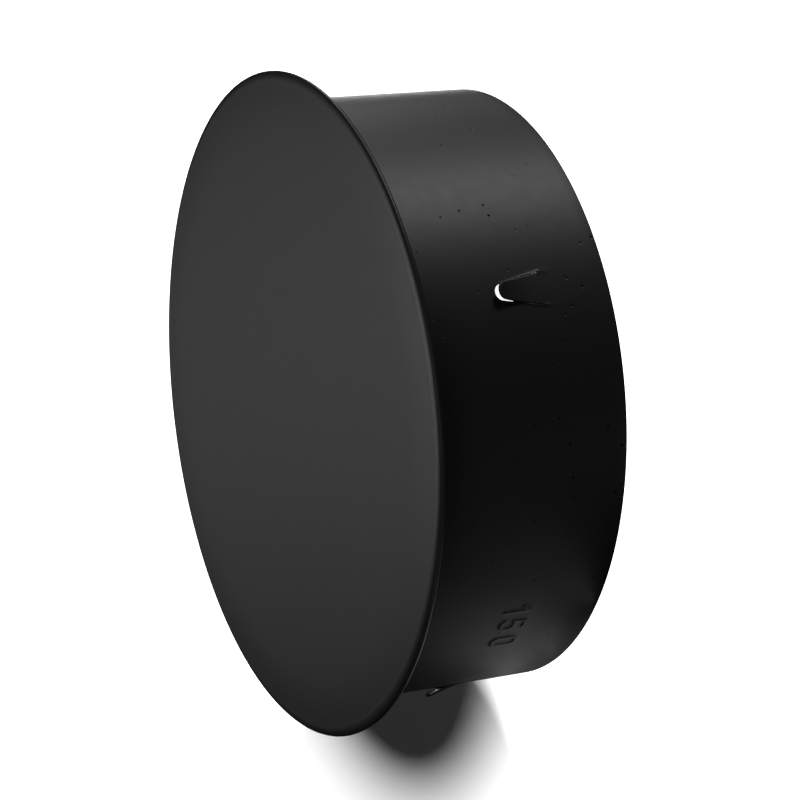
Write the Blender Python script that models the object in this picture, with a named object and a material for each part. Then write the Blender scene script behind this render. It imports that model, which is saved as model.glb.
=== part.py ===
"""Stove pipe end cap: a sheet-steel lid folded onto a rolled collar that plugs into the end of a pipe.

The cap stands on the open end of its collar with its face up. The origin is the centre of that open end, and
+Z runs through the middle of the face. Lengths are in metres.
"""

import math

import bmesh
import bpy

# The pipe, and the sheet that both pieces are made of
PIPE_BORE = 0.150
PIPE_CLEARANCE = 0.00025
SHEET = 0.0006

# The cap as a whole
HEIGHT = 0.053
OVERHANG = 0.00805

# The seam: the lid's edge is folded back round the collar's flange
SEAM_GAP = 0.0003
HEM_CLEARANCE = 0.0010
FLANGE_BEND = 0.0006

# The tongues: U-shaped cuts in the collar, rooted towards the open end, with their tips bent outward
TONGUE_COUNT = 4
TONGUE_PITCH = math.radians(97)
TONGUE_ROW_FACES = math.radians(-23.5)
TONGUE_ROOT_HEIGHT = 0.0172
TONGUE_LENGTH = 0.0123
TONGUE_ROOT_WIDTH = 0.0091
TONGUE_TIP_RADIUS = 0.0020
TONGUE_LIFT = 0.0024
SLOT_WIDTH = 0.00045

# How finely the curves are divided
SEGMENTS = 144
FOLD_STEPS = 8
BEND_STEPS = 4
TIP_STEPS = 12
TONGUE_ROWS = 8
MERGE_DISTANCE = 1e-6
SHARP_ANGLE = math.radians(30)

# Sizes that follow from those above
COLLAR_RADIUS = PIPE_BORE / 2 - PIPE_CLEARANCE
LID_RADIUS = COLLAR_RADIUS + OVERHANG
FOLD_RADIUS = (3 * SHEET + 2 * SEAM_GAP) / 2
FOLD_CENTRE = (LID_RADIUS - FOLD_RADIUS, HEIGHT - FOLD_RADIUS)
HEM_EDGE = COLLAR_RADIUS + HEM_CLEARANCE
FLANGE_TOP = HEIGHT - SHEET - SEAM_GAP
FLANGE_UNDERSIDE = FLANGE_TOP - SHEET
BEND_CENTRE = (COLLAR_RADIUS + FLANGE_BEND, FLANGE_UNDERSIDE - FLANGE_BEND)
TONGUE_TIP_HEIGHT = TONGUE_ROOT_HEIGHT + TONGUE_LENGTH
TONGUE_CURVE = (TONGUE_LENGTH**2 + TONGUE_LIFT**2) / (2 * TONGUE_LIFT)


def clear_scene():
    for thing in list(bpy.data.objects):
        bpy.data.objects.remove(thing)


def paint(name, colour, roughness):
    """Satin black heat-resistant paint over sheet steel."""
    material = bpy.data.materials.new(name)
    material.use_nodes = True
    shader = material.node_tree.nodes["Principled BSDF"]
    shader.inputs["Base Color"].default_value = (*colour, 1)
    shader.inputs["Roughness"].default_value = roughness
    shader.inputs["Metallic"].default_value = 0
    return material


def arc(centre, radius, start, end, steps):
    """Points on an arc in the plane of a profile, from one angle in degrees to another."""
    angles = [math.radians(start + (end - start) * step / steps) for step in range(steps + 1)]
    return [(centre[0] + radius * math.cos(a), centre[1] + radius * math.sin(a)) for a in angles]


def lid_profile():
    """The disc's outer skin from the axis, round the fold to the hem's edge, and back along its inner skin."""
    outer = [(0, HEIGHT)]
    outer += arc(FOLD_CENTRE, FOLD_RADIUS, 90, -90, FOLD_STEPS)
    outer += [(HEM_EDGE, HEIGHT - 2 * FOLD_RADIUS)]
    inner = [(HEM_EDGE, HEIGHT - 2 * FOLD_RADIUS + SHEET)]
    inner += arc(FOLD_CENTRE, FOLD_RADIUS - SHEET, -90, 90, FOLD_STEPS)
    inner += [(0, HEIGHT - SHEET)]
    return outer + inner


def collar_profile():
    """The wall's outer skin up to the flange's edge, which lies at the centre of the fold, and back inside."""
    outer = [(COLLAR_RADIUS, 0)]
    outer += arc(BEND_CENTRE, FLANGE_BEND, 180, 90, BEND_STEPS)
    outer += [(FOLD_CENTRE[0], FLANGE_UNDERSIDE)]
    inner = [(FOLD_CENTRE[0], FLANGE_TOP)]
    inner += arc(BEND_CENTRE, FLANGE_BEND + SHEET, 90, 180, BEND_STEPS)
    inner += [(COLLAR_RADIUS - SHEET, 0)]
    return outer + inner


def turned(profile, is_loop):
    """A profile of (radius, height) points spun once round +Z. One that isn't a loop ends on the axis."""
    mesh = bmesh.new()
    points = [mesh.verts.new((radius, 0, height)) for radius, height in profile]
    ends = zip(points, points[1:] + points[:1]) if is_loop else zip(points, points[1:])
    lines = [mesh.edges.new(pair) for pair in ends]
    bmesh.ops.spin(
        mesh, geom=points + lines, axis=(0, 0, 1), cent=(0, 0, 0), angle=math.tau, steps=SEGMENTS, use_merge=True
    )
    bmesh.ops.remove_doubles(mesh, verts=mesh.verts, dist=MERGE_DISTANCE)
    bmesh.ops.recalc_face_normals(mesh, faces=mesh.faces)
    return mesh


def add_object(name, mesh, material=None):
    data = bpy.data.meshes.new(name)
    mesh.to_mesh(data)
    mesh.free()
    data.shade_smooth()
    data.set_sharp_from_angle(angle=SHARP_ANGLE)
    if material:
        data.materials.append(material)
    piece = bpy.data.objects.new(name, data)
    bpy.context.scene.collection.objects.link(piece)
    return piece


def tongue_angles():
    """The tongues' middles, evenly pitched. The longer gap left over is where the strip's ends are joined."""
    first = TONGUE_ROW_FACES - TONGUE_PITCH * (TONGUE_COUNT - 1) / 2
    return [first + TONGUE_PITCH * index for index in range(TONGUE_COUNT)]


def tongue_outline(margin):
    """The tongue seen flat as (across, height) points, root to tip to root, or its outline grown by a margin.

    The sides narrow from the root until they touch the round tip.
    """
    root = TONGUE_ROOT_WIDTH / 2 + margin
    radius = TONGUE_TIP_RADIUS + margin
    centre = TONGUE_TIP_HEIGHT - TONGUE_TIP_RADIUS
    rise = centre - TONGUE_ROOT_HEIGHT
    touch = math.degrees(math.acos(radius / math.hypot(root, rise)) - math.atan2(rise, root))
    tip = arc((0, centre), radius, touch, 180 - touch, TIP_STEPS)
    return [(root, TONGUE_ROOT_HEIGHT), *tip, (-root, TONGUE_ROOT_HEIGHT)]


def slot_cutter(angle):
    """The U-shaped slot round one tongue, as a bar that runs through the wall."""
    mesh = bmesh.new()
    outline = tongue_outline(SLOT_WIDTH) + tongue_outline(0)[::-1]
    reach = SHEET * 2
    corners = [mesh.verts.new((COLLAR_RADIUS - reach, across, height)) for across, height in outline]
    end = mesh.faces.new(corners)
    swept = bmesh.ops.extrude_face_region(mesh, geom=[end])["geom"]
    far_corners = [item for item in swept if isinstance(item, bmesh.types.BMVert)]
    bmesh.ops.translate(mesh, verts=far_corners, vec=(2 * reach, 0, 0))
    bmesh.ops.recalc_face_normals(mesh, faces=mesh.faces)
    cutter = add_object("slot_cutter", mesh)
    cutter.rotation_euler.z = angle
    cutter.hide_render = True
    cutter.display_type = "WIRE"
    return cutter


def across_and_height(point, angle):
    """Where a point on the wall lies on the flat strip, with a tongue's middle at zero."""
    turn = math.remainder(math.atan2(point.y, point.x) - angle, math.tau)
    return turn * COLLAR_RADIUS, point.z


def add_tongue_rows(mesh, angle):
    """Cuts the wall level across one tongue, so that the tongue can curve."""
    reach = TONGUE_ROOT_WIDTH / 2 + SLOT_WIDTH
    for row in range(TONGUE_ROWS):
        height = TONGUE_ROOT_HEIGHT + TONGUE_LENGTH * row / TONGUE_ROWS
        near = []
        for face in mesh.faces:
            across = [across_and_height(corner.co, angle)[0] for corner in face.verts]
            if min(across) < reach and max(across) > -reach:
                near.append(face)
        edges = {edge for face in near for edge in face.edges}
        corners = {corner for face in near for corner in face.verts}
        bmesh.ops.bisect_plane(
            mesh, geom=[*near, *edges, *corners], dist=MERGE_DISTANCE, plane_co=(0, 0, height), plane_no=(0, 0, 1)
        )


def is_on_tongue(across, height):
    """True inside the tongue's outline grown by half the slot, so that the wall round it is left out."""
    (root, _), (touch, touch_height), *_ = tongue_outline(SLOT_WIDTH / 2)
    if height < TONGUE_ROOT_HEIGHT - MERGE_DISTANCE:
        return False
    if height > touch_height:
        from_centre = math.hypot(across, height - (TONGUE_TIP_HEIGHT - TONGUE_TIP_RADIUS))
        return from_centre < TONGUE_TIP_RADIUS + SLOT_WIDTH / 2
    share = (height - TONGUE_ROOT_HEIGHT) / (touch_height - TONGUE_ROOT_HEIGHT)
    return abs(across) < root + (touch - root) * share


def bend_tongue(mesh, angle):
    """Curves one tongue outward on an arc that starts in line with the wall at its root."""
    for corner in mesh.verts:
        across, height = across_and_height(corner.co, angle)
        if not is_on_tongue(across, height):
            continue
        radius = math.hypot(corner.co.x, corner.co.y)
        bend = (height - TONGUE_ROOT_HEIGHT) / TONGUE_CURVE
        depth = COLLAR_RADIUS - radius
        new_radius = COLLAR_RADIUS + TONGUE_CURVE - (TONGUE_CURVE + depth) * math.cos(bend)
        corner.co.x *= new_radius / radius
        corner.co.y *= new_radius / radius
        corner.co.z = TONGUE_ROOT_HEIGHT + (TONGUE_CURVE + depth) * math.sin(bend)


def make_lid(material):
    return add_object("lid", turned(lid_profile(), is_loop=False), material)


def make_collar(material):
    """A turned wall and flange, then the slots, and last the tongues bent out of the wall."""
    wall = turned(collar_profile(), is_loop=True)
    for angle in tongue_angles():
        add_tongue_rows(wall, angle)
    blank = add_object("collar_blank", wall)
    cutters = [slot_cutter(angle) for angle in tongue_angles()]
    for cutter in cutters:
        slot = blank.modifiers.new("slot", "BOOLEAN")
        slot.operation = "DIFFERENCE"
        slot.solver = "EXACT"
        slot.object = cutter
    bpy.context.view_layer.update()
    mesh = bmesh.new()
    mesh.from_object(blank, bpy.context.evaluated_depsgraph_get())
    for helper in [blank, *cutters]:
        bpy.data.objects.remove(helper)
    bmesh.ops.remove_doubles(mesh, verts=mesh.verts, dist=MERGE_DISTANCE)
    bmesh.ops.dissolve_degenerate(mesh, edges=mesh.edges, dist=MERGE_DISTANCE)
    for angle in tongue_angles():
        bend_tongue(mesh, angle)
    return add_object("collar", mesh, material)


def main():
    clear_scene()
    make_lid(paint("lid_paint", (0.010, 0.010, 0.0105), 0.42))
    make_collar(paint("collar_paint", (0.009, 0.009, 0.0095), 0.40))


main()
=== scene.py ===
# %% [markdown]
# # A stove pipe end cap in satin black
# This notebook dresses a sheet-steel cap that plugs the end of a 150 mm stove pipe. The real cap is two
# pieces of the same thin sheet: a flat disc, and a short ring rolled from a strip. The disc's edge is
# folded back round a flange on the ring, and four tongues are cut in the ring and bent out to grip the
# pipe. The sheets are so thin that the shape is all edges, bends and small dents, so that is where the
# modelling goes.
#
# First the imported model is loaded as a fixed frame. Everything below is measured from it.

import math

import bmesh
import bpy
from mathutils import Matrix, Vector, noise


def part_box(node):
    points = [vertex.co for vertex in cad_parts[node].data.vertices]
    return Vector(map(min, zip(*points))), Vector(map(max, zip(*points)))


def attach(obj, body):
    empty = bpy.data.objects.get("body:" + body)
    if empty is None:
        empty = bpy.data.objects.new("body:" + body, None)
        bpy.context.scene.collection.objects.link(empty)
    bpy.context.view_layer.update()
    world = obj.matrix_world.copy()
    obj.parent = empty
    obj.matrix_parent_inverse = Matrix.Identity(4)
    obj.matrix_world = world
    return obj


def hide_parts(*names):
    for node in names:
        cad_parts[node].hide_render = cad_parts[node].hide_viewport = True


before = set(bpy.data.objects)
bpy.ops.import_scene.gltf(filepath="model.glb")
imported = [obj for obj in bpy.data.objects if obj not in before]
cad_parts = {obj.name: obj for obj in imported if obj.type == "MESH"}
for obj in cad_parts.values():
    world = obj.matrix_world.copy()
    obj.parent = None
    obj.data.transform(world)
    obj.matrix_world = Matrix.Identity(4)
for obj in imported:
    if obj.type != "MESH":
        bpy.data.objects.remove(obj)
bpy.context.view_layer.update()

# %% [markdown]
# ## What the frame says
# A fine surface has to lie where the plain solid lies, or the cap would not fit its pipe any more. The
# ring's wall and the sheet's thickness are read from the corners at its open end, and the fold's
# thickness from the disc's box. Working from the frame means that nothing here has to be corrected when a
# size changes there.

# %% Measure the sheet, the wall and the fold
MM = 0.001
SAME_HEIGHT = 0.01 * MM


def radii_at(node, height):
    """The inner and outer radius of a node's corners at one height."""
    places = [corner.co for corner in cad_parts[node].data.vertices]
    corners = [place for place in places if abs(place.z - height) < SAME_HEIGHT]
    distances = [math.hypot(corner.x, corner.y) for corner in corners]
    return min(distances), max(distances)


lid_low, lid_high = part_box("lid")
collar_low, collar_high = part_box("collar")
wall_inside, wall_radius = radii_at("collar", collar_low.z)
sheet = wall_radius - wall_inside
lid_radius = lid_high.x
lid_top = lid_high.z
hem_edge, _ = radii_at("lid", lid_low.z)
_, flange_edge = radii_at("collar", collar_high.z)
flange_top = collar_high.z
print(f"sheet {sheet / MM:.2f} mm, fold {(lid_high.z - lid_low.z) / MM:.2f} mm")
print(f"radius of the wall {wall_radius / MM:.2f} mm, of the lid {lid_radius / MM:.2f} mm")

# %% [markdown]
# ## The camera
# The photograph was taken with a long lens from a little over half a metre, with the cap turned so that
# its face is seen at a glancing angle. The turn, the tilt and the distance were found by fitting the
# cap's round outlines to the picture. The cap lay on its side there, and here it stands on its open end,
# so the camera is rolled to match.

# %% Place the camera
SENSOR_WIDTH = 36
LENS = 121.0
NEAREST_SEEN = 0.01
CAP_TURN = math.radians(-64.48)
CAP_TILT = math.radians(-5.94)
FACE_FROM_CAMERA = Vector((-27.95, -1.06, -665.1)) * MM

# The cap's axis as the camera sees it, and then the directions across the cap
level = math.cos(CAP_TILT)
axis = Vector((math.sin(CAP_TURN) * level, math.sin(CAP_TILT), math.cos(CAP_TURN) * level))
picture_up = Vector((0, 1, 0))
across_up = (picture_up - axis * picture_up.dot(axis)).normalized()
across_side = axis.cross(across_up)
to_cap = Matrix((across_up, across_side, axis))
camera = bpy.data.objects.new("camera", bpy.data.cameras.new("camera"))
bpy.context.scene.collection.objects.link(camera)
camera.data.sensor_width = SENSOR_WIDTH
camera.data.lens = LENS
camera.data.clip_start = NEAREST_SEEN
face_middle = Vector((0, 0, lid_top))
camera.matrix_world = Matrix.Translation(face_middle - to_cap @ FACE_FROM_CAMERA) @ to_cap.to_4x4()
bpy.context.scene.camera = camera
print("camera at", [round(value / MM) for value in camera.matrix_world.translation], "mm")

# %% [markdown]
# ## Turning a profile
# Both sheets are round, so each starts as the outline of its cut edge, swept once round the upright axis.
# The outline is drawn as points of radius and height: straight runs, and arcs for the bends. A full spin
# with `use_merge` closes on itself, and the points on the axis are joined to one.

# %% Draw and spin outlines
AROUND = 480
MERGE = 0.002 * MM
SHARP_ANGLE = math.radians(40)


def arc(centre, radius, start, end, steps):
    """Points on an arc in a profile, from one angle in degrees to another."""
    angles = [math.radians(start + (end - start) * step / steps) for step in range(steps + 1)]
    return [(centre[0] + radius * math.cos(a), centre[1] + radius * math.sin(a)) for a in angles]


def run(start, end, steps):
    """Points spaced along a straight run of a profile, without its last one."""
    return [tuple(a + (b - a) * step / steps for a, b in zip(start, end)) for step in range(steps)]


def spun(profile, is_loop):
    """A profile spun once round the upright axis. One that isn't a loop starts and ends on the axis."""
    mesh = bmesh.new()
    points = [mesh.verts.new((radius, 0, height)) for radius, height in profile]
    ends = zip(points, points[1:] + points[:1]) if is_loop else zip(points, points[1:])
    lines = [mesh.edges.new(pair) for pair in ends]
    bmesh.ops.spin(
        mesh,
        geom=points + lines,
        axis=(0, 0, 1),
        cent=(0, 0, 0),
        angle=math.tau,
        steps=AROUND,
        use_merge=True,
    )
    bmesh.ops.remove_doubles(mesh, verts=mesh.verts, dist=MERGE)
    bmesh.ops.recalc_face_normals(mesh, faces=mesh.faces)
    return mesh


def finished(name, mesh):
    """Makes a smooth-shaded object from a bmesh, with creases where the surface turns sharply."""
    data = bpy.data.meshes.new(name)
    mesh.to_mesh(data)
    mesh.free()
    data.shade_smooth()
    data.set_sharp_from_angle(angle=SHARP_ANGLE)
    piece = bpy.data.objects.new(name, data)
    bpy.context.scene.collection.objects.link(piece)
    triangles = sum(len(face.vertices) - 2 for face in data.polygons)
    print(f"{name}: {triangles} triangles")
    return piece


# %% [markdown]
# ## The lid
# The disc is blanked from sheet, and its edge is rolled over the ring's flange and pressed flat. The
# press pulls the face down a little before it reaches the rim, and turns it into the fold on a wide, flat
# rounding. That is what makes a sheet lid catch the light along its rim and then go dark. The cut edge
# under the fold is not sharp: the shears round it and the paint fills it. A press is never quite true
# either. This lid sits a little off the ring's middle, and its fold is pressed thinner on one side.

# %% Size the lid
EDGE_ROUND = 0.14 * MM
EDGE_STEPS = 4
MIDDLE_RINGS = 4
FACE_SAG = 0.42 * MM
SAG_WIDTH = 13 * MM
FACE_RINGS = 14
FRONT_ROUNDING = 2.7 * MM
FRONT_STEPS = 16
FOLD_STEPS = 10
LID_OFF_MIDDLE = 0.4 * MM
FOLD_SQUEEZE = 0.15

lid_reach = lid_radius - LID_OFF_MIDDLE
face_rim = lid_reach - FRONT_ROUNDING
sag_start = face_rim - SAG_WIDTH


def face_height(radius):
    """The face's height, level in the middle and drawn down on a curve towards the rim."""
    share = max(0.0, radius - sag_start) / SAG_WIDTH
    return lid_top - FACE_SAG * share * share


def sheet_edge(radius, low, high):
    """The rounded cut end of a sheet that faces the axis, from its lower skin to its upper one."""
    turn = arc((radius + EDGE_ROUND, low + EDGE_ROUND), EDGE_ROUND, 270, 180, EDGE_STEPS)
    return turn + arc((radius + EDGE_ROUND, high - EDGE_ROUND), EDGE_ROUND, 180, 90, EDGE_STEPS)


# %% Spin the lid
rings = [sag_start * step / MIDDLE_RINGS for step in range(MIDDLE_RINGS)]
rings += [sag_start + SAG_WIDTH * step / FACE_RINGS for step in range(FACE_RINGS)]
fold_outside = (face_height(face_rim) - lid_low.z) / 2
fold_middle = (lid_reach - fold_outside, lid_low.z + fold_outside)


def front_turn(depth, start, end):
    """A skin of the sheet on the front of the fold, this deep under the outer one: a flat quarter turn."""
    turn = arc((0, 0), 1, start, end, FRONT_STEPS)
    reach, rise = FRONT_ROUNDING - depth, fold_outside - depth
    return [(face_rim + reach * across, fold_middle[1] + rise * up) for across, up in turn]


lid_outline = [(radius, face_height(radius)) for radius in rings]
lid_outline += front_turn(0, 90, 0)
lid_outline += arc(fold_middle, fold_outside, 0, -90, FOLD_STEPS)[1:]
lid_outline += sheet_edge(hem_edge, lid_low.z, lid_low.z + sheet)
lid_outline += arc(fold_middle, fold_outside - sheet, -90, 0, FOLD_STEPS)
lid_outline += front_turn(sheet, 0, 90)[1:]
lid_outline += [(radius, face_height(radius) - sheet) for radius in rings[::-1]]
lid_mesh = spun(lid_outline, is_loop=False)
print("fold outside radius", round(fold_outside / MM, 3), "mm")

# %% Press the fold and seat the lid
for corner in lid_mesh.verts:
    towards_thin_side = (1 + math.cos(math.atan2(corner.co.y, corner.co.x))) / 2
    corner.co.z = lid_top - (lid_top - corner.co.z) * (1 - FOLD_SQUEEZE * towards_thin_side)
bmesh.ops.translate(lid_mesh, verts=lid_mesh.verts, vec=(-LID_OFF_MIDDLE, 0, 0))
lid = finished("lid_sheet", lid_mesh)

# %% [markdown]
# ## The collar's blank
# The ring is a strip rolled up, with its top edge turned out into a flange. It is spun as a closed
# section, like the lid, with level rows every few millimetres up the wall, because a rolled wall is never
# quite true and the rows let it wander.

# %% Spin the collar
BEND = 0.6 * MM
BEND_STEPS = 8
WALL_ROWS = 18

flange_under = flange_top - sheet
flange_reach = flange_edge - 2 * LID_OFF_MIDDLE
bend_centre = (wall_radius + BEND, flange_under - BEND)
open_edge = arc((wall_radius - EDGE_ROUND, EDGE_ROUND), EDGE_ROUND, 270, 360, EDGE_STEPS)
inner_edge = arc((wall_inside + EDGE_ROUND, EDGE_ROUND), EDGE_ROUND, 180, 270, EDGE_STEPS)
collar_outline = run(open_edge[-1], (wall_radius, bend_centre[1]), WALL_ROWS)
wall_rows = [height for _, height in collar_outline] + [bend_centre[1]]
collar_outline += arc(bend_centre, BEND, 180, 90, BEND_STEPS)
collar_outline += [(flange_reach, flange_under), (flange_reach, flange_top)]
collar_outline += arc(bend_centre, BEND + sheet, 90, 180, BEND_STEPS)
collar_outline += run((wall_inside, bend_centre[1]), inner_edge[0], WALL_ROWS)[1:]
collar_outline += inner_edge + open_edge[:-1]
wall = spun(collar_outline, is_loop=True)
print("collar blank", len(wall.faces), "faces")

# %% [markdown]
# ## Cells of the wall
# The real strip is punched and stamped while it is still flat, and rolled afterwards. The spun wall is a
# grid of cells, so a patch of it can be made the same way: a flat plate that is just as large as a block
# of cells takes their place. Its border has corners where the cells have theirs, so the two join without
# a crack. Cuts finer than the cells stop short of that border.

# %% Lay a block of the wall flat
def wall_cells(angle, reach, low, high):
    """The columns and rows of the smallest block of cells round a place, on the wall laid flat."""
    step = math.tau / AROUND
    first = math.floor((angle - reach / wall_radius) / step)
    last = math.ceil((angle + reach / wall_radius) / step)
    columns = [(index * step - angle) * wall_radius for index in range(first, last + 1)]
    bottom = max(height for height in wall_rows if height < low)
    top = min(height for height in wall_rows if height > high)
    return columns, [height for height in wall_rows if bottom <= height <= top]


def across_and_height(point, angle):
    """Where a point lies on the wall laid flat, with zero at the given angle."""
    turn = math.remainder(math.atan2(point.y, point.x) - angle, math.tau)
    return turn * wall_radius, point.z


def faces_between(mesh, angle, columns, rows):
    """The wall's faces inside a block, on both skins."""
    inside = []
    for face in mesh.faces:
        across, height = across_and_height(face.calc_center_median(), angle)
        if columns[0] < across < columns[-1] and rows[0] < height < rows[-1]:
            inside.append(face)
    return inside


def with_parts(faces):
    """Faces together with their edges and corners, each of them once and always in the same order."""
    edges = dict.fromkeys(edge for face in faces for edge in face.edges)
    corners = dict.fromkeys(corner for face in faces for corner in face.verts)
    return [*faces, *edges, *corners]


# %% Make a flat plate and set it in the wall
def flat_plate(columns, rows):
    """A flat plate of the sheet: across is X, height on the wall is Y, and its outer skin is at zero."""
    plate = bmesh.new()
    bmesh.ops.create_cube(plate, size=1)
    bmesh.ops.scale(plate, verts=plate.verts, vec=(columns[-1] - columns[0], rows[-1] - rows[0], sheet))
    middle = ((columns[0] + columns[-1]) / 2, (rows[0] + rows[-1]) / 2, -sheet / 2)
    bmesh.ops.translate(plate, verts=plate.verts, vec=middle)
    return plate


def slice_faces(plate, faces, columns, rows):
    """Cuts a plate's faces along the given columns and rows."""
    geometry = with_parts(faces)
    for normal, places in ((Vector((1, 0, 0)), columns), (Vector((0, 1, 0)), rows)):
        for place in places:
            cut = bmesh.ops.bisect_plane(
                plate, geom=geometry, dist=MERGE, plane_co=normal * place, plane_no=normal
            )
            geometry = cut["geom"]


def open_border(plate, columns, rows):
    """Takes the four end faces off a plate, so that only its two skins and its holes are left."""
    ends = []
    for face in plate.faces:
        middle = face.calc_center_median()
        is_within_columns = columns[0] + MERGE < middle.x < columns[-1] - MERGE
        is_within_rows = rows[0] + MERGE < middle.y < rows[-1] - MERGE
        if not (is_within_columns and is_within_rows):
            ends.append(face)
    bmesh.ops.delete(plate, geom=ends, context="FACES")


def set_in_wall(mesh, plate, angle, columns, rows, shape):
    """Wraps a plate round the wall in place of a block of cells.

    The shape gives each point's distance from the wall's outer skin, and its height.
    """
    bmesh.ops.delete(mesh, geom=faces_between(mesh, angle, columns, rows), context="FACES")
    for corner in plate.verts:
        outward, height = shape(corner.co)
        turn = angle + corner.co.x / wall_radius
        radius = wall_radius + outward
        corner.co = (radius * math.cos(turn), radius * math.sin(turn), height)
    patch = bpy.data.meshes.new("patch")
    plate.to_mesh(patch)
    plate.free()
    mesh.from_mesh(patch)
    bpy.data.meshes.remove(patch)
    bmesh.ops.remove_doubles(mesh, verts=mesh.verts, dist=MERGE)


# %% [markdown]
# ## The tongues
# A punch shears a U in the strip and pushes the tongue out in the same stroke. The root is on the side of
# the open end, so the cap slides in easily and the tips dig in when it is pulled. The sides are sheared
# without a gap, and only the bent tip leaves one. Shearing rolls the edges over a little and drags the
# wall beside them up into a low lip. Both catch the light along a tongue, so the round is a bevel, and
# the lip is raised as the plate is bent. Near the root the shear is filled with paint, so no light comes
# through there.

# %% Size the tongues
TONGUES = 4
TONGUE_PITCH = math.radians(97)
TONGUE_ROW_FACES = math.radians(-23.5)
ROOT_HEIGHT = 17.1 * MM
TONGUE_LENGTH = 12.3 * MM
ROOT_WIDTH = 8.3 * MM
TIP_RADIUS = 2.05 * MM
TONGUE_LIFT = 2.0 * MM
TONGUE_TWIST = 0.32
SIDE_SLOT = 0.04 * MM
TIP_SLOT = 0.08 * MM
TIP_STEPS = 28

tip_height = ROOT_HEIGHT + TONGUE_LENGTH
first_tongue = TONGUE_ROW_FACES - TONGUE_PITCH * (TONGUES - 1) / 2
tongue_angles = [first_tongue + TONGUE_PITCH * index for index in range(TONGUES)]
print("tongues at", [round(math.degrees(angle), 1) for angle in tongue_angles], "degrees")


def tip_share(height):
    """How far round the tip a height is: zero level with the tip's centre and one at the very tip."""
    return max(0.0, min(1.0, (height - (tip_height - TIP_RADIUS)) / TIP_RADIUS)) ** 2


def tongue_outline(side_margin, tip_margin):
    """The flat tongue's outline, root to tip to root, grown by one margin at its sides and one at its tip."""
    root = ROOT_WIDTH / 2 + side_margin
    radius = TIP_RADIUS + side_margin
    centre = tip_height - TIP_RADIUS
    rise = centre - ROOT_HEIGHT
    touch = math.degrees(math.acos(radius / math.hypot(root, rise)) - math.atan2(rise, root))
    outline = [(root, ROOT_HEIGHT)]
    for across, height in arc((0, centre), radius, touch, 180 - touch, TIP_STEPS):
        growth = 1 + tip_share(height) * (tip_margin - side_margin) / radius
        outline.append((across * growth, centre + (height - centre) * growth))
    return [*outline, (-root, ROOT_HEIGHT)]


# %% Shear a tongue in a plate
ROLLOVER = 0.12 * MM
TOP_ROLLOVER = 0.24 * MM
ROLLOVER_STEPS = 3
LIP_REACH = 1.2 * MM
BESIDE_TONGUE = 2.0 * MM
TONGUE_GRAIN = 0.34 * MM
ROWS_BELOW_ROOT = 4
# How upright a face's normal is, from 0 for a cut face to 1 for a skin
CUT_FACE = 0.1
SKIN = 0.9


def slot_bar():
    """A bar with the shape of the U-shaped slot, long enough to cut through the plate."""
    bar_mesh = bmesh.new()
    below, above = -2 * sheet, sheet
    outline = tongue_outline(SIDE_SLOT, TIP_SLOT) + tongue_outline(0, 0)[::-1]
    end = bar_mesh.faces.new([bar_mesh.verts.new((across, height, below)) for across, height in outline])
    swept = bmesh.ops.extrude_face_region(bar_mesh, geom=[end])["geom"]
    far = [item for item in swept if isinstance(item, bmesh.types.BMVert)]
    bmesh.ops.translate(bar_mesh, verts=far, vec=(0, 0, above - below))
    bmesh.ops.recalc_face_normals(bar_mesh, faces=bar_mesh.faces)
    return finished("slot_bar", bar_mesh)


def roll_over(plate, width, is_wanted):
    """Rounds the slot's rims whose middle is wanted. A rim lies between a flat skin and a cut face."""
    rims = []
    for edge in plate.edges:
        flatness = sorted(abs(face.normal.z) for face in edge.link_faces)
        if len(flatness) == 2 and flatness[0] < CUT_FACE and flatness[1] > SKIN:
            middle = (edge.verts[0].co + edge.verts[1].co) / 2
            if is_wanted(middle):
                rims.append(edge)
    bmesh.ops.bevel(
        plate, geom=rims, offset=width, segments=ROLLOVER_STEPS, affect="EDGES", profile=0.5, material=-1
    )


def sheared_plate(columns, rows):
    """A flat plate with the U-shaped slot of one tongue through it, its edges rolled over."""
    plate = finished("plate", flat_plate(columns, rows))
    bar = slot_bar()
    slot = plate.modifiers.new("slot", "BOOLEAN")
    slot.operation = "DIFFERENCE"
    slot.solver = "EXACT"
    slot.object = bar
    bpy.context.view_layer.update()
    sheared = bmesh.new()
    sheared.from_object(plate, bpy.context.evaluated_depsgraph_get())
    for helper in (plate, bar):
        bpy.data.objects.remove(helper)
    bmesh.ops.remove_doubles(sheared, verts=sheared.verts, dist=MERGE)
    open_border(sheared, columns, rows)
    roll_over(sheared, TOP_ROLLOVER, lambda middle: middle.z > -MERGE and is_on_tongue(middle.x, middle.y))
    roll_over(sheared, ROLLOVER, lambda middle: True)
    slice_faces(sheared, sheared.faces, columns[1:-1], rows[1:-1])
    inner = []
    for face in sheared.faces:
        middle = face.calc_center_median()
        if columns[1] < middle.x < columns[-2] and rows[1] < middle.y < rows[-2]:
            inner.append(face)
    count = round(TONGUE_LENGTH / TONGUE_GRAIN)
    levels = [ROOT_HEIGHT + TONGUE_LENGTH * index / count for index in range(-ROWS_BELOW_ROOT, count + 1)]
    reach = ROOT_WIDTH / 2 + LIP_REACH
    count = round(reach / TONGUE_GRAIN) * 2
    places = [reach * (2 * index / count - 1) for index in range(count + 1)]
    slice_faces(sheared, inner, places, levels)
    return sheared


# %% Bend, wrap and set the tongues
SIDE_LIP = 0.2 * MM
LIP_WIDTH = 0.36 * MM
LIP_LEFT_AT_TIP = 0.35
LIP_BLEND = 0.06
BRIDGED_SHARE = 0.68
BRIDGE_DEPTH = 0.35 * MM


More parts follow.
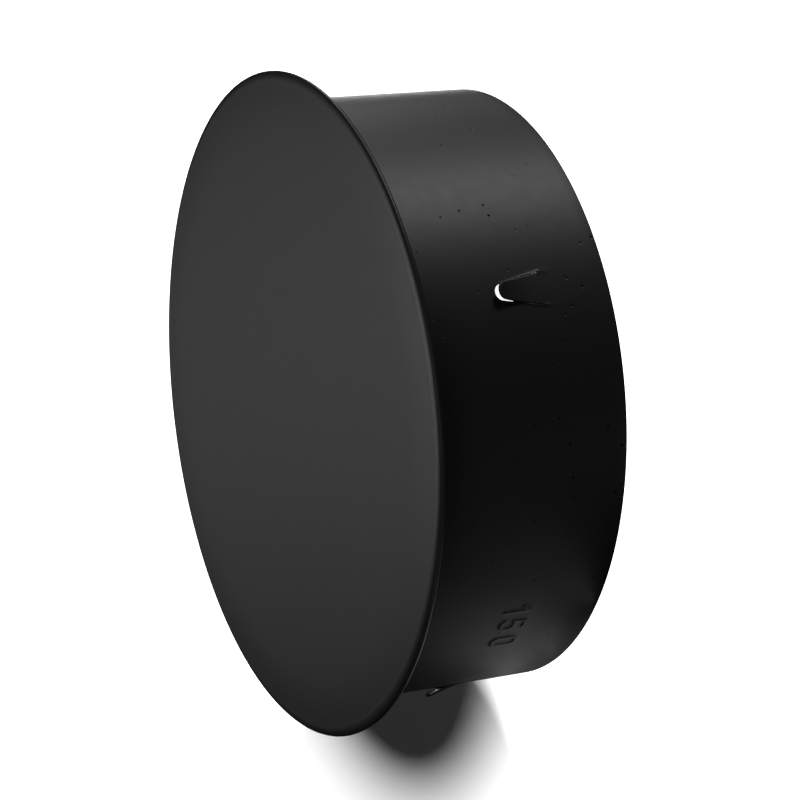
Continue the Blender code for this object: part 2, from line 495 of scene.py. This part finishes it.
def is_on_tongue(across, height):
    """True inside the tongue's outline grown by half the slot, so that the wall round it stays."""
    (root, _), (touch, touch_height), *_ = tongue_outline(SIDE_SLOT / 2, TIP_SLOT / 2)
    if height < ROOT_HEIGHT or height > touch_height:
        from_centre = math.hypot(across, height - (tip_height - TIP_RADIUS))
        reach = TIP_RADIUS + SIDE_SLOT / 2 + tip_share(height) * TIP_SLOT / 2
        return height > touch_height and from_centre < reach
    share = (height - ROOT_HEIGHT) / (touch_height - ROOT_HEIGHT)
    return abs(across) < root + (touch - root) * share


def side_lip(across, height):
    """How far the wall is pulled up along the sheared sides, most at the root."""
    root, touch = (Vector(corner) for corner in tongue_outline(0, 0)[:2])
    place = Vector((abs(across), height))
    along = max(0.0, min(1.0, (place - root).dot(touch - root) / (touch - root).length_squared))
    from_side = (place - root - (touch - root) * along).length
    return SIDE_LIP * (1 + (LIP_LEFT_AT_TIP - 1) * along) * math.exp(-((from_side / LIP_WIDTH) ** 2))


def tongue_shape(place):
    """Curves the tongue outward, one side a little more than the other, and leaves the rest as it is."""
    lip = side_lip(place.x, place.y)
    if not is_on_tongue(place.x, place.y):
        return place.z + lip, place.y
    share = (place.y - ROOT_HEIGHT) / TONGUE_LENGTH
    twist = 1 + TONGUE_TWIST * place.x / (ROOT_WIDTH / 2)
    lift = TONGUE_LIFT * share**2
    slope = math.atan(2 * TONGUE_LIFT / TONGUE_LENGTH * share)
    # The slope grows evenly from the root, so the bend takes a third of the height that its last slope would
    height = place.y - (1 - math.cos(slope)) * (place.y - ROOT_HEIGHT) / 3
    outward = lift * twist + place.z * math.cos(slope) + lip * max(0.0, 1 - share / LIP_BLEND)
    if share < BRIDGED_SHARE and place.z < -sheet / 2:
        outward = min(outward, -BRIDGE_DEPTH)
    return outward, height - place.z * math.sin(slope)


for angle in tongue_angles:
    reach = ROOT_WIDTH / 2 + BESIDE_TONGUE
    columns, rows = wall_cells(angle, reach, ROOT_HEIGHT - BESIDE_TONGUE, tip_height + BESIDE_TONGUE)
    set_in_wall(wall, sheared_plate(columns, rows), angle, columns, rows, tongue_shape)
print("open edges with the tongues in:", sum(not edge.is_manifold for edge in wall.edges))

# %% [markdown]
# ## The stamped size
# The cap carries its nominal size in plain figures, pressed out of the wall by a die from behind. The
# strokes are rounded ridges less than a millimetre wide. Each figure is a few lines and arcs. The wall's
# cells there are cut fine, and each corner rises by how near it lies to a stroke, so both skins swell
# together as pressed sheet does.

# %% Draw the figures
# The figures are drawn in millimetres, from the middle of each one's foot
FIGURE_HEIGHT = 6.4
FIGURE_FOOT = 25.5
FIGURE_ANGLE = math.radians(-138.5)
STROKE = 0.5
RIDGE = 0.3 * MM


def stroke_line(*points):
    """A chain of straight strokes, as pairs of ends."""
    return list(zip(points, points[1:]))


def stroke_arc(centre, size, start, end, steps=12):
    """An arc of strokes, which may be squashed."""
    circle = arc((0, 0), 1, start, end, steps)
    return stroke_line(*[(centre[0] + size[0] * x, centre[1] + size[1] * y) for x, y in circle])


one = stroke_line((-1.5, 4.8), (0, FIGURE_HEIGHT), (0, 0))
five = stroke_line((1.4, FIGURE_HEIGHT), (-1.0, FIGURE_HEIGHT), (-1.25, 3.5))
five += stroke_arc((0, 1.95), (1.65, 1.85), 120, -150)
nought = stroke_line((1.5, 1.6), (1.5, 4.8)) + stroke_arc((0, 4.8), (1.5, 1.6), 0, 180)
nought += stroke_line((-1.5, 4.8), (-1.5, 1.6)) + stroke_arc((0, 1.6), (1.5, 1.6), 180, 360)
figures = [(-5.7, one), (-0.9, five), (6.0, nought)]
print("strokes:", sum(len(figure) for _, figure in figures))

# %% Press the figures out
FIGURES_REACH = 9.3 * MM
FIGURE_GRAIN = 0.2 * MM
BESIDE_FIGURES = 1.4 * MM


def distance_to_stroke(place, stroke):
    """How far a point on the flat wall lies from one stroke."""
    start, end = Vector(stroke[0]), Vector(stroke[1])
    along = end - start
    share = max(0.0, min(1.0, (place - start).dot(along) / along.length_squared))
    return (place - start - along * share).length


def ridge(across, height):
    """How far the wall is pressed out at a place. The figures' tops point at the open end."""
    x, y = -across / MM, FIGURE_FOOT - height / MM
    distances = []
    for shift, figure in figures:
        distances += [distance_to_stroke(Vector((x - shift, y)), stroke) for stroke in figure]
    return RIDGE * math.exp(-((min(distances) / STROKE) ** 2))


figures_low = (FIGURE_FOOT - FIGURE_HEIGHT) * MM - BESIDE_FIGURES
figures_high = FIGURE_FOOT * MM + BESIDE_FIGURES
columns, rows = wall_cells(FIGURE_ANGLE, FIGURES_REACH, figures_low, figures_high)
geometry = with_parts(faces_between(wall, FIGURE_ANGLE, columns, rows))
row_count = round((figures_high - figures_low) / FIGURE_GRAIN)
for index in range(row_count + 1):
    height = figures_low + (figures_high - figures_low) * index / row_count
    cut = bmesh.ops.bisect_plane(wall, geom=geometry, dist=MERGE, plane_co=(0, 0, height), plane_no=(0, 0, 1))
    geometry = cut["geom"]
column_count = round(2 * FIGURES_REACH / FIGURE_GRAIN)
for index in range(column_count + 1):
    turn = FIGURE_ANGLE + FIGURES_REACH / wall_radius * (2 * index / column_count - 1)
    side = (-math.sin(turn), math.cos(turn), 0)
    cut = bmesh.ops.bisect_plane(wall, geom=geometry, dist=MERGE, plane_co=(0, 0, 0), plane_no=side)
    geometry = cut["geom"]
for corner in [item for item in geometry if isinstance(item, bmesh.types.BMVert)]:
    across, height = across_and_height(corner.co, FIGURE_ANGLE)
    radius = math.hypot(corner.co.x, corner.co.y)
    skin = wall_radius if radius > (wall_radius + wall_inside) / 2 else wall_inside
    corner.co *= Vector(((skin + ridge(across, height)) / radius,) * 2 + (1,))
print("open edges with the figures in:", sum(not edge.is_manifold for edge in wall.edges))

# %% [markdown]
# ## The weld and the roll
# The strip's ends meet on the side away from the stamp and are welded edge to edge. The weld leaves a low
# bead on both skins, so the wall's cells are cut fine there. Rolled sheet is also never quite round: it
# wanders by a few hundredths of a millimetre, and a little less towards the flange, which holds it true.

# %% Lay the weld bead
WELD_ANGLE = math.radians(156.5)
WELD_REACH = 1.8 * MM
WELD_HALF_WIDTH = 0.6 * MM
WELD_RISE = 0.14 * MM
WELD_INSIDE = 0.6
WELD_FADE = 1.5 * MM
WELD_CUTS = 20

columns, rows = wall_cells(WELD_ANGLE, WELD_REACH, wall_rows[1], wall_rows[-2])
geometry = with_parts(faces_between(wall, WELD_ANGLE, columns, rows))
for index in range(WELD_CUTS + 1):
    turn = WELD_ANGLE + WELD_REACH / wall_radius * (2 * index / WELD_CUTS - 1)
    side = (-math.sin(turn), math.cos(turn), 0)
    cut = bmesh.ops.bisect_plane(wall, geom=geometry, dist=MERGE, plane_co=(0, 0, 0), plane_no=side)
    geometry = cut["geom"]
for corner in [item for item in geometry if isinstance(item, bmesh.types.BMVert)]:
    across, height = across_and_height(corner.co, WELD_ANGLE)
    radius = math.hypot(corner.co.x, corner.co.y)
    from_ends = min(1.0, (height - rows[0]) / WELD_FADE, (rows[-1] - height) / WELD_FADE)
    bead = WELD_RISE * math.exp(-((across / WELD_HALF_WIDTH) ** 2)) * from_ends
    new_radius = radius + bead if radius > (wall_radius + wall_inside) / 2 else radius - WELD_INSIDE * bead
    corner.co *= Vector((new_radius / radius, new_radius / radius, 1))
print("open edges with the weld in:", sum(not edge.is_manifold for edge in wall.edges))

# %% Let the rolled wall wander
WANDER = 0.035 * MM
WANDER_LENGTH = 26 * MM
WANDER_TALLER = 3
WANDER_FADE = 14 * MM

for corner in wall.verts:
    free = max(0.0, min(1.0, (bend_centre[1] - corner.co.z) / WANDER_FADE))
    radius = math.hypot(corner.co.x, corner.co.y)
    level = Vector((corner.co.x, corner.co.y, 0)) * (wall_radius / radius)
    upward = Vector((0, 0, corner.co.z / (WANDER_TALLER * WANDER_LENGTH)))
    shift = WANDER * free * noise.noise(level / WANDER_LENGTH + upward)
    corner.co *= Vector(((radius + shift) / radius, (radius + shift) / radius, 1))

# %% Finish the collar
bmesh.ops.recalc_face_normals(wall, faces=wall.faces)
collar = finished("collar_sheet", wall)

# %% [markdown]
# ## The paint
# The cap is sprayed with satin black heat-resistant paint, a silicone paint loaded with black pigment and
# a matting powder. It is almost colourless, reflects little, and spreads what it does reflect, so a lamp
# shows on it as a broad pale band. The orange peel of the spray is finer than a millimetre. Grit and dry
# spray leave small pits, most of them near the open end, and the pits are coloured darker as painted shade.
# There are a few pale specks as well. All of it comes from patterns in space, which have no seam on a
# round wall.


# %% Helpers for materials
def linear(hex_colour):
    """An sRGB hex colour as linear red, green, blue and full opacity."""
    values = [int(hex_colour[start : start + 2], 16) / 255 for start in (1, 3, 5)]
    return (*[v / 12.92 if v <= 0.04045 else ((v + 0.055) / 1.055) ** 2.4 for v in values], 1)


def shown(sockets, name):
    """The socket that a node shows under a name. It may hide others of the same name."""
    return next(socket for socket in sockets if socket.name == name and socket.enabled)


def add_node(tree, kind, settings=None, inputs=None):
    """Adds a node, sets its settings, and fills its inputs with values or with other nodes' outputs."""
    node = tree.nodes.new(kind)
    for name, value in (settings or {}).items():
        setattr(node, name, value)
    for name, value in (inputs or {}).items():
        socket = node.inputs[name] if isinstance(name, int) else shown(node.inputs, name)
        if isinstance(value, bpy.types.NodeSocket):
            tree.links.new(value, socket)
        else:
            socket.default_value = value
    return node


# %% Mix the paint
PEEL = 0.9 * MM
PEEL_DEPTH = 0.02 * MM
PEEL_STRENGTH = 0.25
RUN = 3.2 * MM
RUN_DEPTH = 0.004 * MM
PIT_SPACING = 3.9 * MM
PIT_DEPTH = 0.15 * MM
SPECK_SPACING = 7 * MM
SPECK = 0.2 * MM
PAINT = "#272727"
# The pits' near-black colour is painted shade inside the dents.
PIT_SHADE_COLOUR = "#0a0a0a"
SPECK_COLOUR = "#666666"
ROUGHNESS_SPREAD = 0.025
SHEEN = 0.5
PIT_SHEEN = 0.05


def dots(tree, place, spacing, radius):
    """A mask of soft round dots scattered through space. The radius is a number or another node's output."""
    cells = add_node(
        tree, "ShaderNodeTexVoronoi", inputs={"Vector": place.outputs["Object"], "Scale": 1 / spacing}
    )
    distance = add_node(
        tree, "ShaderNodeMath", {"operation": "MULTIPLY"}, {0: cells.outputs["Distance"], 1: spacing}
    )
    return add_node(
        tree,
        "ShaderNodeMapRange",
        {"interpolation_type": "SMOOTHSTEP"},
        {"Value": distance.outputs["Value"], "From Max": radius, "To Min": 1, "To Max": 0},
    )


def satin_black_paint(name, roughness, pit_at_bottom, pit_at_top):
    """Satin black stove paint: a matt, near-black film with orange peel, small pits with painted shade in
    them, and a few specks.
    """
    material = bpy.data.materials.new(name)
    material.use_nodes = True
    tree = material.node_tree
    tree.nodes.clear()
    place = add_node(tree, "ShaderNodeTexCoord")
    peel = add_node(
        tree, "ShaderNodeTexNoise", inputs={"Vector": place.outputs["Object"], "Scale": 1 / PEEL, "Detail": 2}
    )
    film = add_node(
        tree, "ShaderNodeTexNoise", inputs={"Vector": place.outputs["Object"], "Scale": 1 / RUN, "Detail": 3}
    )
    height = add_node(tree, "ShaderNodeSeparateXYZ", inputs={"Vector": place.outputs["Object"]})
    pit_radius = add_node(
        tree,
        "ShaderNodeMapRange",
        inputs={
            "Value": height.outputs["Z"],
            "From Max": lid_top,
            "To Min": pit_at_bottom,
            "To Max": pit_at_top,
        },
    )
    pits = dots(tree, place, PIT_SPACING, pit_radius.outputs["Result"])
    specks = dots(tree, place, SPECK_SPACING, SPECK)
    peel_bump = add_node(
        tree,
        "ShaderNodeBump",
        inputs={"Strength": PEEL_STRENGTH, "Distance": PEEL_DEPTH, "Height": peel.outputs["Fac"]},
    )
    film_bump = add_node(
        tree,
        "ShaderNodeBump",
        inputs={"Distance": RUN_DEPTH, "Height": film.outputs["Fac"], "Normal": peel_bump.outputs["Normal"]},
    )
    pit_bump = add_node(
        tree,
        "ShaderNodeBump",
        {"invert": True},
        {"Distance": PIT_DEPTH, "Height": pits.outputs["Result"], "Normal": film_bump.outputs["Normal"]},
    )
    # Painted shade: the pits are coloured darker than the paint round them.
    pit_shaded = add_node(
        tree,
        "ShaderNodeMix",
        {"data_type": "RGBA"},
        {"Factor": pits.outputs["Result"], "A": linear(PAINT), "B": linear(PIT_SHADE_COLOUR)},
    )
    colour = add_node(
        tree,
        "ShaderNodeMix",
        {"data_type": "RGBA"},
        {"Factor": specks.outputs["Result"], "A": shown(pit_shaded.outputs, "Result"), "B": linear(SPECK_COLOUR)},
    )
    dullness = add_node(
        tree,
        "ShaderNodeMapRange",
        inputs={
            "Value": film.outputs["Fac"],
            "To Min": roughness - ROUGHNESS_SPREAD,
            "To Max": roughness + ROUGHNESS_SPREAD,
        },
    )
    sheen = add_node(
        tree,
        "ShaderNodeMapRange",
        inputs={"Value": pits.outputs["Result"], "To Min": SHEEN, "To Max": PIT_SHEEN},
    )
    shader = add_node(
        tree,
        "ShaderNodeBsdfPrincipled",
        inputs={
            "Base Color": shown(colour.outputs, "Result"),
            "Roughness": dullness.outputs["Result"],
            "Specular IOR Level": sheen.outputs["Result"],
            "Normal": pit_bump.outputs["Normal"],
        },
    )
    add_node(tree, "ShaderNodeOutputMaterial", inputs={"Surface": shader.outputs["BSDF"]})
    return material


# The roughness of satin paint, and the pits' radius at the open end and at the face. A pit's edge is
# soft, so it looks about half as wide as its radius says.
lid.data.materials.append(satin_black_paint("satin black stove paint, lid", 0.44, 0.12 * MM, 0.12 * MM))
collar.data.materials.append(satin_black_paint("satin black stove paint, collar", 0.5, 0.62 * MM, 0.24 * MM))

# %% [markdown]
# ## Riding on the frame
# Each dressed sheet stands for its plain solid and moves with the one body.

# %% Tie the pieces to the frame
for piece, node, slot in [(lid, "lid", "lid_paint"), (collar, "collar", "collar_paint")]:
    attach(piece, "root")
    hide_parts(node)

# %% [markdown]
# ## The light table
# The photograph is a catalogue picture: a black cap on white that burns out to nothing, with one soft
# shadow. The floor is an opal light table. It glows a little, and lamps below it shine through it on to
# the collar. Where the cap stands it is left open, so the gap at a tongue's tip shows plain white, as it
# does in the photograph.

# %% Lay the light table
FLOOR_SIZE = 4.0
FLOOR_SEGMENTS = 96
HOLE = wall_inside - 6 * MM
TABLE_GLOW = 0.022

floor_mesh = bmesh.new()
for radius in (HOLE, FLOOR_SIZE):
    bmesh.ops.create_circle(floor_mesh, segments=FLOOR_SEGMENTS, radius=radius)
bmesh.ops.bridge_loops(floor_mesh, edges=floor_mesh.edges[:])
for face in floor_mesh.faces:
    if face.normal.z < 0:
        face.normal_flip()
floor = finished("floor", floor_mesh)
opal = bpy.data.materials.new("opal acrylic sheet")
opal.use_nodes = True
shader = opal.node_tree.nodes["Principled BSDF"]
shader.inputs["Base Color"].default_value = linear("#f4f4f4")
shader.inputs["Roughness"].default_value = 1
shader.inputs["Specular IOR Level"].default_value = 0
shader.inputs["Emission Color"].default_value = linear("#ffffff")
shader.inputs["Emission Strength"].default_value = TABLE_GLOW
floor.data.materials.append(opal)
floor.visible_shadow = False
floor.visible_glossy = False
floor.visible_diffuse = False

# %% [markdown]
# ## The lamps
# A black cap and a white floor can't both be exposed well by one lamp. A photographer would keep the
# lamps apart with flags and screens, and here light linking does it: the soft lamps round the cap light
# only the cap, and two far lamps light only the floor. Four of the soft lamps stand below the table and
# shine through it. Small cards beside the collar give it the light that a white ground throws back.


# %% Group what each lamp lights
def group_of(name, *things):
    """A collection for light linking that holds the given objects."""
    group = bpy.data.collections.new(name)
    for thing in things:
        group.objects.link(thing)
    return group


only_cap = group_of("lit as the cap", lid, collar)
only_floor = group_of("lit as the floor", floor)
only_lid = group_of("throws the shadow", lid)

# %% Set the soft lamps round the cap
LAMP_DISTANCE = 1.2
CAP_MIDDLE = Vector((0, 0, 30)) * MM

# Each lamp's azimuth and elevation in degrees, its size in metres and its power in watts
cap_lamps = [
    ("key lamp", 345, -22, 0.3, 3.7),
    ("key lamp, second", 30, -6, 0.3, 3.95),
    ("side lamp", 75, -22, 0.3, 2.6),
    ("face lamp", 86, 52, 0.5, 1.9),
    ("back lamp", 91, 24, 0.4, 0.17),
    ("low lamp", 240, -40, 0.5, 0.27),
    ("rim lamp", 210, 30, 0.5, 0.5),
    ("rim lamp, second", 0, 25, 0.5, 0.8),
    ("fill lamp", 270, 50, 0.6, 1.0),
]


def direction(azimuth, elevation):
    """The way from the cap towards a lamp, from its azimuth and elevation in degrees."""
    turn, rise = math.radians(azimuth), math.radians(elevation)
    return Vector((math.cos(rise) * math.cos(turn), math.cos(rise) * math.sin(turn), math.sin(rise)))


for name, azimuth, elevation, size, power in cap_lamps:
    lamp = bpy.data.objects.new(name, bpy.data.lights.new(name, "AREA"))
    bpy.context.scene.collection.objects.link(lamp)
    lamp.data.shape = "DISK"
    lamp.data.size = size
    lamp.data.energy = power
    lamp.location = direction(azimuth, elevation) * LAMP_DISTANCE
    lamp.rotation_euler = (lamp.location - CAP_MIDDLE).to_track_quat("Z", "Y").to_euler()
    lamp.visible_camera = False
    lamp.light_linking.receiver_collection = only_cap
print(len(cap_lamps), "soft lamps")

# %% Add the glow beside the collar
# Each card's middle and its two sides in millimetres, the way it faces, and its power in watts
glow_cards = [
    ((-90, 0, -25), (70, 60), (1, 0, 0), 0.003),
    ((-106, -28, 1), (50, 50), (0, 0, 1), 0.0039),
    ((-95, -55, 1), (50, 50), (0, 0, 1), 0.0019),
    ((-78, -78, 1), (50, 50), (0, 0, 1), 0.0013),
]
for place, (height, width), facing, power in glow_cards:
    glow = bpy.data.objects.new("glow card", bpy.data.lights.new("glow card", "AREA"))
    bpy.context.scene.collection.objects.link(glow)
    glow.data.shape = "RECTANGLE"
    glow.data.size = height * MM
    glow.data.size_y = width * MM
    glow.data.energy = power
    glow.location = Vector(place) * MM
    glow.rotation_euler = (-Vector(facing)).to_track_quat("Z", "Y").to_euler()
    glow.visible_camera = False
    glow.light_linking.receiver_collection = only_cap

# %% Light the floor
# Each lamp's azimuth, elevation and softness in degrees, and its strength
floor_lamps = [("floor lamp, low", -24, 18.2, 1.2, 11.1), ("floor lamp, high", -63, 33.7, 17, 6.9)]
for name, azimuth, elevation, softness, power in floor_lamps:
    lamp = bpy.data.objects.new(name, bpy.data.lights.new(name, "SUN"))
    bpy.context.scene.collection.objects.link(lamp)
    lamp.data.energy = power
    lamp.data.angle = math.radians(softness)
    lamp.rotation_euler = direction(azimuth, elevation).to_track_quat("Z", "Y").to_euler()
    lamp.light_linking.receiver_collection = only_floor
    lamp.light_linking.blocker_collection = only_lid

# %% Turn the world white for the camera alone
world = bpy.data.worlds.new("white")
bpy.context.scene.world = world
world.use_nodes = True
world.node_tree.nodes["Background"].inputs["Color"].default_value = (1, 1, 1, 1)
world.cycles_visibility.diffuse = False
world.cycles_visibility.glossy = False
bpy.context.scene.view_settings.view_transform = "Standard"
